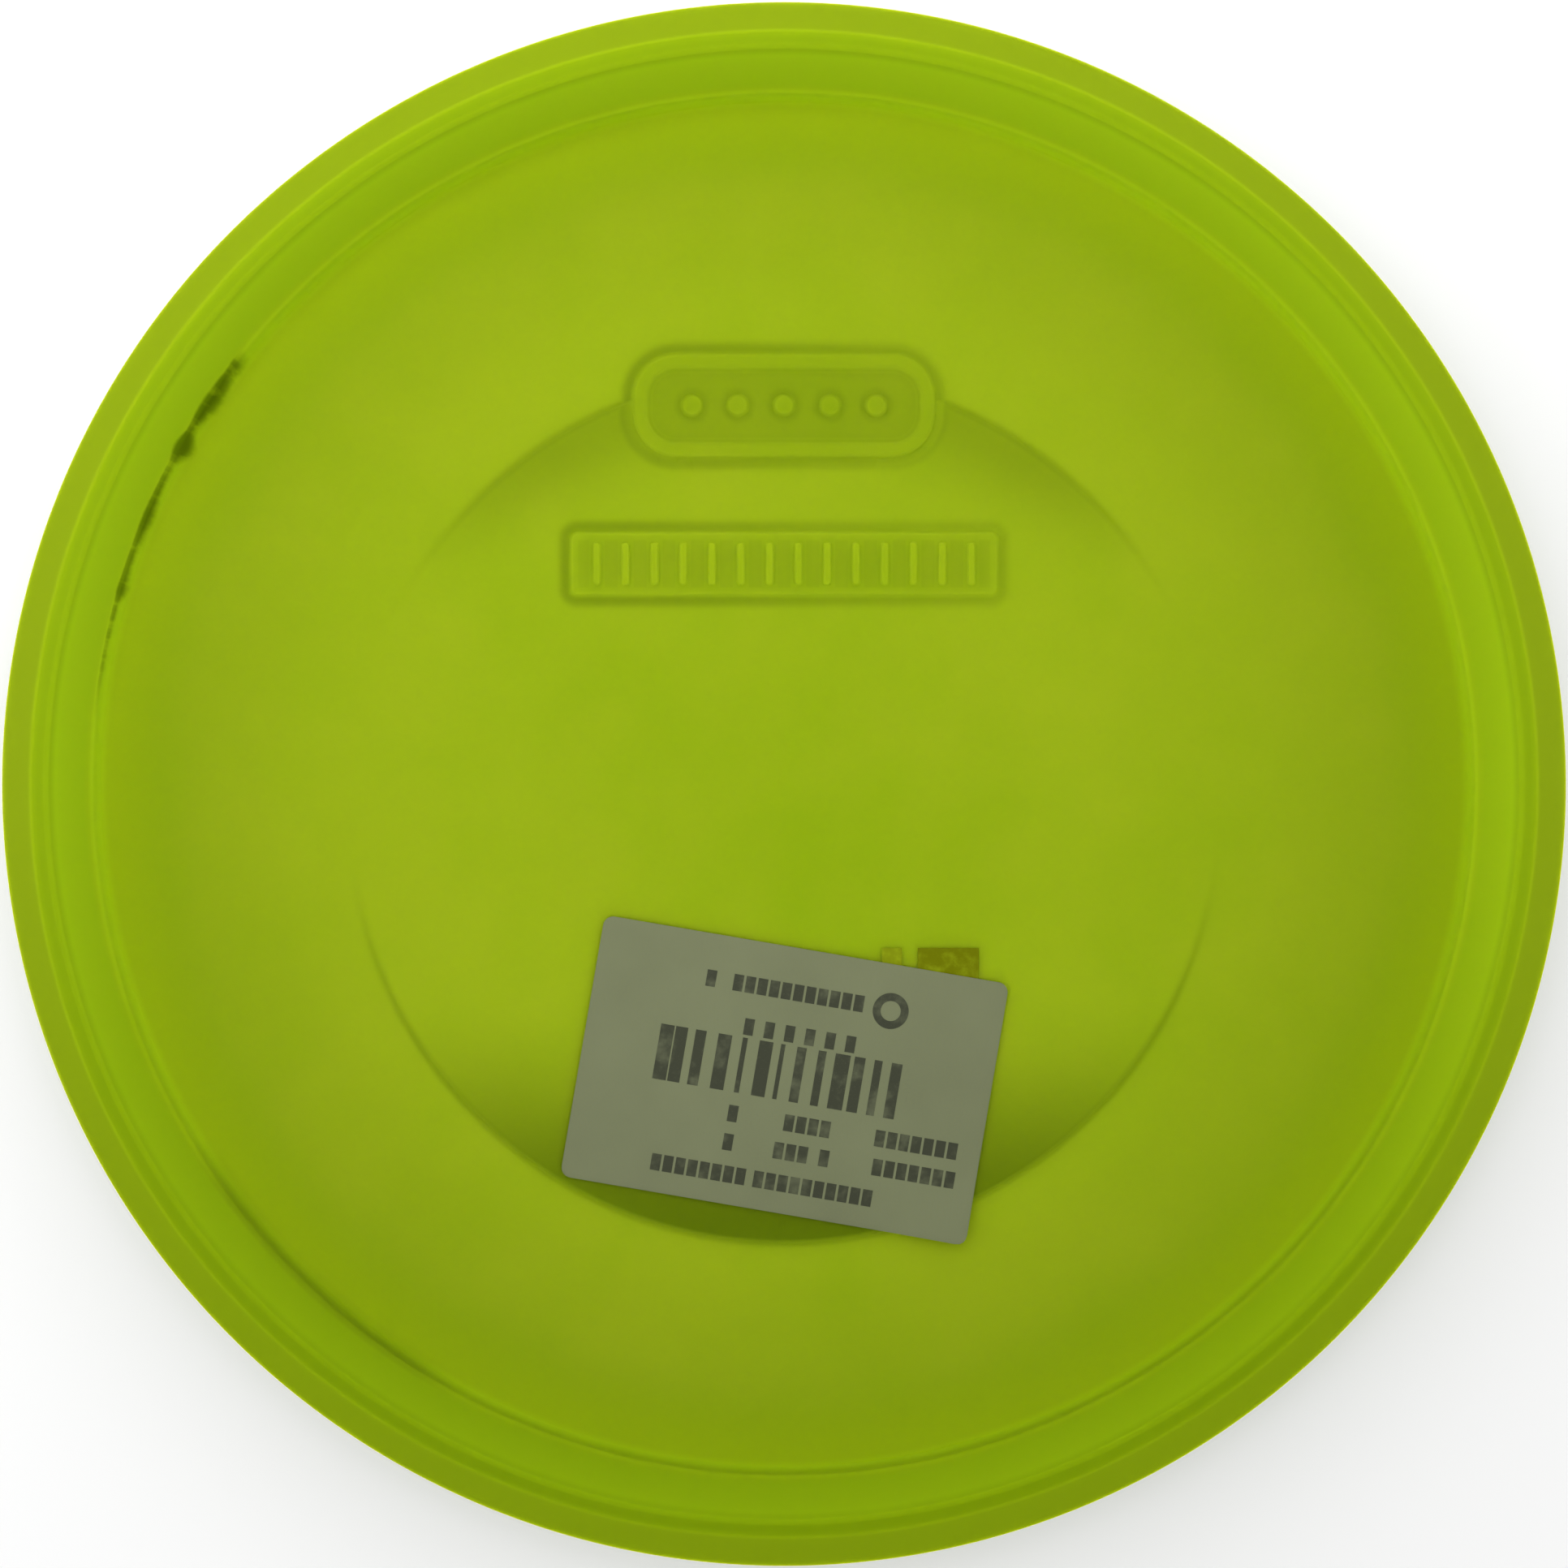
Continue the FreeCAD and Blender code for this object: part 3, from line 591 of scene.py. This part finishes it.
def outside_plate(x, y, length, width, corner):
    """How far a place is outside a flat plate with round corners centred on zero; below 0 inside it."""
    over_x = x.size() - (length / 2 - corner)
    over_y = y.size() - (width / 2 - corner)
    past_x, past_y = over_x.most(0.0), over_y.most(0.0)
    return (past_x * past_x + past_y * past_y).root() + over_x.most(over_y).least(0.0) - corner


def plaque_shade_and_depth(x, y, plaques):
    """Painted shade round the plaques' feet, in the badge's groove, round the studs and between the ribs,
    with a deeper plastic colour on the badge's floor and on both plaques, and where the plaques are.
    """
    badge_y, bar_y = y - plaques.badge_y, y - plaques.bar_y
    badge = outside_plate(x, badge_y, plaques.badge_length, plaques.badge_width, plaques.badge_corner)
    bar = outside_plate(x, bar_y, plaques.bar_length, plaques.bar_width, plaques.bar_corner)
    # Painted shade: dark outlines round the feet of the badge and the bar.
    outline = badge.band(-0.5 * MM, 1.6 * MM).most(bar.band(-0.4 * MM, 1.5 * MM))
    groove = badge.band(-3.7 * MM, 1.2 * MM) * 0.7
    stud_x = ((x / plaques.stud_pitch + 0.5).fraction() - 0.5) * plaques.stud_pitch
    stud = (stud_x * stud_x + badge_y * badge_y).root()
    half_row = plaques.stud_pitch * plaques.studs / 2
    round_studs = stud.band(plaques.stud_radius, 0.9 * MM) * x.size().step(half_row, half_row - 0.3 * MM)
    floor = badge.step(-3.2 * MM, -4.2 * MM) * (round_studs * 0.2 + 0.8)
    rib = ((x / plaques.rib_pitch).fraction() - 0.5).size() * plaques.rib_pitch
    half_rib = plaques.rib_height / 2
    beside_ribs = rib.step(plaques.rib_width * 0.5, plaques.rib_width * 0.8)
    beside_ribs = beside_ribs * bar_y.size().step(half_rib + MM, half_rib)
    beside_ribs = beside_ribs * bar.step(-1.5 * MM, -2.5 * MM)
    on_badge, on_bar = badge.step(0.3 * MM, -0.6 * MM), bar.step(0.3 * MM, -0.6 * MM)
    # The painted shade of the outlines is fainter towards +X.
    fade = x.step(22 * MM, -28 * MM) * 0.45 + 0.55
    shade = (outline * fade).most(groove).most(floor).most(beside_ribs * 0.55)
    return shade.most(on_badge * 0.65).most(on_bar * 0.4), on_badge.most(on_bar)


def foot_lines(finish, disc, place, reach, cloud):
    """Where a dark line with blobs runs in the foot of the wall on one side, and where a soft dark line runs
    on the low side.
    """
    x, y, z = place
    angle_round = y.angle(x)

    def between(start, end):
        """1 between two places round the disc, each given as the degrees where it fades in or out."""
        start, end = ([math.radians(degrees) for degrees in fade] for fade in (start, end))
        return angle_round.step(*end) * angle_round.step(*start)

    wall_foot = DISC_HIGH.x - disc.rim_width - disc.wall_lean
    across = reach - (wall_foot - 0.1 * MM) + (cloud - 0.5) * 1.2 * MM
    up = z - (disc.plate + disc.crown_rise + 0.9 * MM)
    off_line = (across * across + up * up).root()
    grit = finish.noise(finish.vector(angle_round * 60.0, 4.0, reach / (2 * MM)), 1.0, 2.0, 0.6)
    # Thick blobs come first, then a line that thins out.
    thins = [math.radians(degrees) for degrees in FOOT_LINE_THINS]
    width = angle_round.step(*thins) * (0.35 * MM) + grit * (0.4 * MM) + 0.3 * MM
    for place_round, half_length, half_width in FOOT_BLOBS:
        blob = angle_round.band(math.radians(place_round), math.radians(half_length))
        width = width + blob * half_width * MM
    line = (off_line / width).step(1.45, 0.5)
    thickness = grit.step(0.3, 0.5) * 0.3 + (width / MM).step(0.5, 1.2) * 0.4 + 0.3
    low_line = off_line.step(2.6 * MM, 0.4 * MM)
    return line * between(FOOT_LINE_FROM, FOOT_LINE_TO) * thickness, low_line * between(LOW_LINE_FROM, LOW_LINE_TO)


def disc_plastic(disc, plaques):
    """Translucent lime plastic that looks deeper where it is thick, with painted light at the foot of the
    wall and in the corner under it, painted shade round the plaques, along the panel's edge and on the rim's
    low side, and dark lines in the foot of the wall.
    """
    finish = Finish(
        "disc_plastic",
        Subsurface_Weight=1.0,
        Subsurface_Radius=(1.0, 1.0, 0.2),
        Subsurface_Scale=disc.depth,
        Specular_IOR_Level=disc.gloss,
    )
    place, x, y, z = finish.place()
    reach = (x * x + y * y).root()
    lip_inner = DISC_HIGH.x - disc.rim_width
    plate_top = disc.plate + disc.crown_rise
    # From the plate outwards: the wall, painted light at the foot and in the corner under it, the lip and
    # the rim.
    wall = reach.step(lip_inner - 14 * MM, lip_inner - 3 * MM)
    foot = reach.step(lip_inner - 12 * MM, lip_inner - 2 * MM) * z.step(plate_top + 4 * MM, plate_top)
    crease_light = reach.band(lip_inner - 0.8 * MM, 1.5 * MM) * z.step(plate_top + 2.5 * MM, plate_top + 0.8 * MM)
    lip = z.step(DISC_HIGH.z - 3 * MM, DISC_HIGH.z - 0.3 * MM)
    rim = reach.step(lip_inner + 1.6 * MM, lip_inner + 3 * MM)
    # The two crescents fade from the panel's edge inwards.
    panel_y = y + disc.panel_offset
    panel_reach = (x * x + panel_y * panel_y).root()
    on_panel = panel_reach.step(disc.panel_radius + 0.3 * MM, disc.panel_radius - 0.6 * MM)
    near_edge = panel_reach.step(disc.panel_radius - 14 * MM, disc.panel_radius)
    upper = (y - disc.strip_top).step(0.0, 20 * MM) * (near_edge * 0.35 + 0.06)
    lower = (disc.strip_bottom - y).step(16 * MM, 50 * MM) * 0.95
    shade, on_plaque = plaque_shade_and_depth(x, y, plaques)
    crescent = on_panel * (upper + lower) * (1 - on_plaque)
    # Painted shade: a dark line along the panel's edge where the panel stands highest.
    high_edge = (y - disc.strip_top).most(disc.strip_bottom - y).step(-6 * MM, 22 * MM)
    shade = shade.most(panel_reach.band(disc.panel_radius, 1.1 * MM) * high_edge * (1 - on_plaque) * 0.7)

    blotch = finish.noise(place, 38 * MM, 3.0, 0.6)
    cloud = finish.noise(place, 9 * MM, 3.0, 0.55)
    tone = (blotch - 0.5) * 1.6 + (cloud - 0.5) * 0.5 + reach.step(50 * MM, 0.0) * 0.5 + 0.2
    base = finish.mix(tone, disc.thin_colour, disc.wall_colour)
    base = finish.mix(wall, base, disc.wall_colour)
    # Painted light brightens the foot of the wall and the corner under it.
    base = finish.mix(foot * 0.45, base, disc.foot_light_colour)
    base = finish.mix(crease_light * 0.75, base, disc.crease_light_colour)
    base = finish.mix(lip * 0.55, base, disc.rim_colour)
    base = finish.mix(rim, base, disc.rim_colour)
    base = finish.mix(crescent, base, disc.deep_and_shade_colour)
    # Painted shade round the plaques and along the panel's edge, and the deeper colour of the plaques.
    base = finish.mix(shade * 0.45, base, disc.deep_and_shade_colour)
    # Painted shade darkens the rim on the side towards the label.
    low_side_shade = (y / DISC_HIGH.y).step(0.15, -0.8) * reach.step(lip_inner - 1.5 * MM, lip_inner - 0.3 * MM)
    base = finish.mix(low_side_shade * 0.5, base, disc.line_and_shade_colour)

    # A dark line with blobs in the foot of the wall on one side, and a soft dark line on the low side.
    dark_line, low_line = foot_lines(finish, disc, (x, y, z), reach, cloud)
    base = finish.mix(dark_line, base, disc.line_and_shade_colour)
    base = finish.mix(low_line * 0.42, base, disc.deep_and_shade_colour)
    finish.link("Base Color", base)

    grain = finish.noise(place, 0.5 * MM, 3.0, 0.6)
    rings = finish.noise(finish.vector(reach / (0.9 * MM), z / (0.9 * MM), 0.0), 1.0, 2.0, 0.6)
    scuffs = finish.noise(finish.vector(x / (14 * MM), y / (0.7 * MM), z / (2 * MM)), 1.0, 4.0, 0.6)
    finish.link("Roughness", 0.42 + (grain - 0.5) * 0.12 + scuffs.step(0.62, 0.75) * 0.15)
    soft = finish.bump(rings * 0.5 + cloud * 0.7, 0.05 * MM, 0.5)
    finish.link("Normal", finish.bump(grain, 0.012 * MM, 0.6, soft))
    return finish.material


class DISC_OT_moulding(bpy.types.Operator):
    """Makes the disc's moulding, with its two plaques"""

    bl_idname = "disc.moulding"
    bl_label = "Disc moulding"

    def execute(self, context):
        disc = context.scene.disc_settings
        plaques = context.scene.plaque_settings
        moulding = build_moulding(disc)
        for relief in (build_badge(disc, plaques), build_bar(disc, plaques)):
            moulding = united(moulding, relief)
        new_piece("disc_moulding", moulding, ("disc_body",), disc_plastic(disc, plaques))
        return {"FINISHED"}


# ---------------------------------------------------------------- the label


def label_place(disc, label):
    """Where the label lies: on the panel's lower slope, just clear of its soft start, turned a little."""
    clear = 0.05 * MM
    height = disc.plate + clear + (disc.strip_bottom - label.y) * math.tan(disc.slope)
    tilt = Matrix.Rotation(-disc.slope, 4, "X")
    turn = Matrix.Rotation(label.turn, 4, "Z")
    return Matrix.Translation((label.x, label.y, height)) @ tilt @ turn


def build_paper(disc, label):
    """The paper sheet, whose free corner has lifted off."""
    bm = bmesh.new()
    bmesh.ops.create_grid(bm, x_segments=76, y_segments=49, size=0.5)
    bmesh.ops.scale(bm, vec=(label.size_x, label.size_y, 1.0), verts=bm.verts)
    # What lies past the round corners is drawn in onto them.
    half = Vector((label.size_x / 2, label.size_y / 2))
    for vertex in bm.verts:
        over = Vector((abs(vertex.co.x), abs(vertex.co.y))) - half + Vector((label.corner,) * 2)
        if over.x > 0 and over.y > 0 and over.length > label.corner:
            over *= label.corner / over.length
            vertex.co.x = math.copysign(half.x - label.corner + over.x, vertex.co.x)
            vertex.co.y = math.copysign(half.y - label.corner + over.y, vertex.co.y)
    top = bmesh.ops.extrude_face_region(bm, geom=bm.faces)["geom"]
    bmesh.ops.translate(
        bm, verts=[v for v in top if isinstance(v, bmesh.types.BMVert)], vec=(0, 0, label.paper)
    )
    bmesh.ops.translate(bm, verts=bm.verts, vec=(0, 0, label.film))
    # The corner that stands past the panel's edge curls up along a diagonal.
    for vertex in bm.verts:
        to_corner = (half.x - vertex.co.x + half.y + vertex.co.y) / math.sqrt(2)
        curl = max(0.0, 1 - to_corner / label.lift_reach)
        vertex.co.z += label.lift * curl**2
    bm.transform(label_place(disc, label))
    return bm


def label_stock(label):
    """Uncoated label paper with fine fibres and faint soiling."""
    finish = Finish("label_paper", Specular_IOR_Level=0.15)
    place, x, y, z = finish.place()
    fibres = finish.noise(finish.vector(x / (0.25 * MM), y / (1.4 * MM), z), 1.0, 3.0, 0.7)
    pulp = finish.noise(place, 0.35 * MM, 2.0, 0.6)
    soil = finish.noise(place, 16 * MM, 3.0, 0.6)
    dark = tuple(c * 0.78 for c in label.paper_colour)
    warm = tuple(c * k for c, k in zip(label.paper_colour, (1.08, 1.06, 0.9)))
    base = finish.mix((soil - 0.35) * 1.2, label.paper_colour, dark)
    base = finish.mix((pulp - 0.4) * 0.8, base, warm)
    base = finish.mix((fibres - 0.55) * 0.9, base, dark)
    finish.link("Base Color", base)
    finish.link("Roughness", 0.72 + (pulp - 0.5) * 0.2)
    finish.link("Normal", finish.bump(fibres * 0.6 + pulp * 0.4, 0.03 * MM, 0.5))
    return finish.material


def print_ink(label):
    """Thermal print that has faded unevenly."""
    finish = Finish("print_ink", Specular_IOR_Level=0.2)
    place, *_ = finish.place()
    fade = finish.noise(place, 3.5 * MM, 3.0, 0.6)
    speck = finish.noise(place, 0.22 * MM, 2.0, 0.6)
    half_tone = tuple((a + b) / 2 for a, b in zip(label.paper_colour, label.ink_colour))
    amount = (fade - 0.45).step(0.0, 0.3) * 0.8 + speck.step(0.6, 0.75) * 0.3
    finish.link("Base Color", finish.mix(amount, label.ink_colour, half_tone))
    finish.link("Roughness", 0.6 + (speck - 0.5) * 0.2)
    return finish.material


def marker_ink(disc, label):
    """Marker ink on the plate, worn thin in patches."""
    finish = Finish("marker_ink", Specular_IOR_Level=0.02)
    place, x, *_ = finish.place()
    worn = finish.noise(place, 2.2 * MM, 3.0, 0.65)
    edge = x.step(18.0 * MM, 15.5 * MM)
    amount = (worn - 0.5).step(-0.1, 0.3) * 0.35 + edge * 0.25
    finish.link("Base Color", finish.mix(amount, label.mark_colour, disc.thin_colour))
    finish.link("Roughness", 0.5 + (worn - 0.5) * 0.2)
    return finish.material


def adhesive_film(label):
    """The tacky film under the paper."""
    finish = Finish("label_adhesive", Specular_IOR_Level=0.4)
    place, *_ = finish.place()
    blotch = finish.noise(place, 1.5 * MM, 2.0, 0.6)
    pale = tuple(min(1.0, c * 1.3) for c in label.paper_colour)
    finish.link("Base Color", finish.mix(blotch, label.paper_colour, pale))
    finish.link("Roughness", 0.3 + blotch * 0.2)
    return finish.material


def paint_node(name, material):
    """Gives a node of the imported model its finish."""
    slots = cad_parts[name].data.materials
    slots.clear()
    slots.append(material)


class DISC_OT_label(bpy.types.Operator):
    """Makes the price label, its prints and the ink mark under it"""

    bl_idname = "disc.label"
    bl_label = "Price label"

    def execute(self, context):
        disc = context.scene.disc_settings
        label = context.scene.label_settings
        new_piece(
            "label_sheet", build_paper(disc, label), ("label_paper",), label_stock(label)
        )
        ink = print_ink(label)
        for name in ("label_barcode_print", "label_header_print", "label_text_print"):
            paint_node(name, ink)
        paint_node("label_adhesive", adhesive_film(label))
        paint_node("ink_mark", marker_ink(disc, label))
        return {"FINISHED"}


# ---------------------------------------------------------------- the stage


def add_floor(stage):
    """A plain pale matt floor."""
    bm = bmesh.new()
    bmesh.ops.create_grid(bm, x_segments=1, y_segments=1, size=stage.floor_width / 2)
    mesh = bpy.data.meshes.new("stage_floor")
    bm.to_mesh(mesh)
    bm.free()
    colour_value = (*stage.floor_colour, 1.0)
    finish = Finish("stage_floor", Base_Color=colour_value, Roughness=0.9, Specular_IOR_Level=0.1)
    mesh.materials.append(finish.material)
    floor = bpy.data.objects.new("stage_floor", mesh)
    bpy.context.collection.objects.link(floor)


def add_key_light(stage):
    """A square soft light high over the far side of the disc, with a narrow beam."""
    place, target = Vector((-0.1, 0.25, 1.2)), Vector((-0.08, 0.2, 0.0))
    light = bpy.data.lights.new("key_light", "AREA")
    light.size = stage.key_size
    light.energy = stage.key_power
    light.spread = stage.key_spread
    lamp = bpy.data.objects.new("key_light", light)
    lamp.location = place
    lamp.rotation_euler = (target - place).to_track_quat("-Z", "Y").to_euler()
    bpy.context.collection.objects.link(lamp)


def soft_sky(stage):
    """A white tent, dim overhead and brightest low down, most of all at the far side."""
    world = bpy.data.worlds.new("sky")
    nodes = Nodes(world, "Background")
    _, x, y, z = nodes.place("Generated")
    nodes.shader.inputs["Color"].default_value = (1.0, 1.0, 1.0, 1.0)
    side = (y * 0.95 - x * 0.3) * stage.sky_side + 1
    nodes.link("Strength", (1 - z.most(0.0)) * side * stage.sky + stage.sky_top)
    return world


def add_camera(stage):
    """The camera looks straight down on the open side, with +Y up in its view."""
    lens = bpy.data.cameras.new("camera")
    lens.sensor_width = 36.0
    lens.lens = stage.focal
    lens.clip_start = 0.01
    camera = bpy.data.objects.new("camera", lens)
    camera.location = (0.0, 0.0, DISC_HIGH.z + stage.camera_height)
    bpy.context.collection.objects.link(camera)
    bpy.context.scene.camera = camera


class DISC_OT_stage(bpy.types.Operator):
    """Makes the floor, the lights and the camera"""

    bl_idname = "disc.stage"
    bl_label = "Studio stage"

    def execute(self, context):
        stage = context.scene.stage_settings
        add_floor(stage)
        add_key_light(stage)
        context.scene.world = soft_sky(stage)
        context.scene.view_settings.view_transform = "Standard"
        add_camera(stage)
        return {"FINISHED"}


# ---------------------------------------------------------------- add-on


class DISC_PT_panel(bpy.types.Panel):
    """Lists the disc's operators and settings"""

    bl_idname = "DISC_PT_panel"
    bl_label = "Golf putter disc"
    bl_space_type = "VIEW_3D"
    bl_region_type = "UI"
    bl_category = "Disc"

    def draw(self, context):
        for operator, groups in PANEL_ROWS:
            box = self.layout.box()
            box.operator(operator)
            for group in groups:
                settings = getattr(context.scene, group)
                for name in settings.__annotations__:
                    box.prop(settings, name)


GROUPS = {
    "disc_settings": DiscSettings,
    "plaque_settings": PlaqueSettings,
    "label_settings": LabelSettings,
    "stage_settings": StageSettings,
}
PANEL_ROWS = [
    ("disc.moulding", ["disc_settings", "plaque_settings"]),
    ("disc.label", ["label_settings"]),
    ("disc.stage", ["stage_settings"]),
]
CLASSES = [*GROUPS.values(), DISC_OT_moulding, DISC_OT_label, DISC_OT_stage, DISC_PT_panel]


def register():
    for cls in CLASSES:
        bpy.utils.register_class(cls)
    for name, group in GROUPS.items():
        setattr(bpy.types.Scene, name, bpy.props.PointerProperty(type=group))


def unregister():
    for name in GROUPS:
        delattr(bpy.types.Scene, name)
    for cls in reversed(CLASSES):
        bpy.utils.unregister_class(cls)


def main():
    register()
    bpy.ops.disc.stage()
    bpy.ops.disc.moulding()
    bpy.ops.disc.label()


if __name__ == "__main__":
    main()
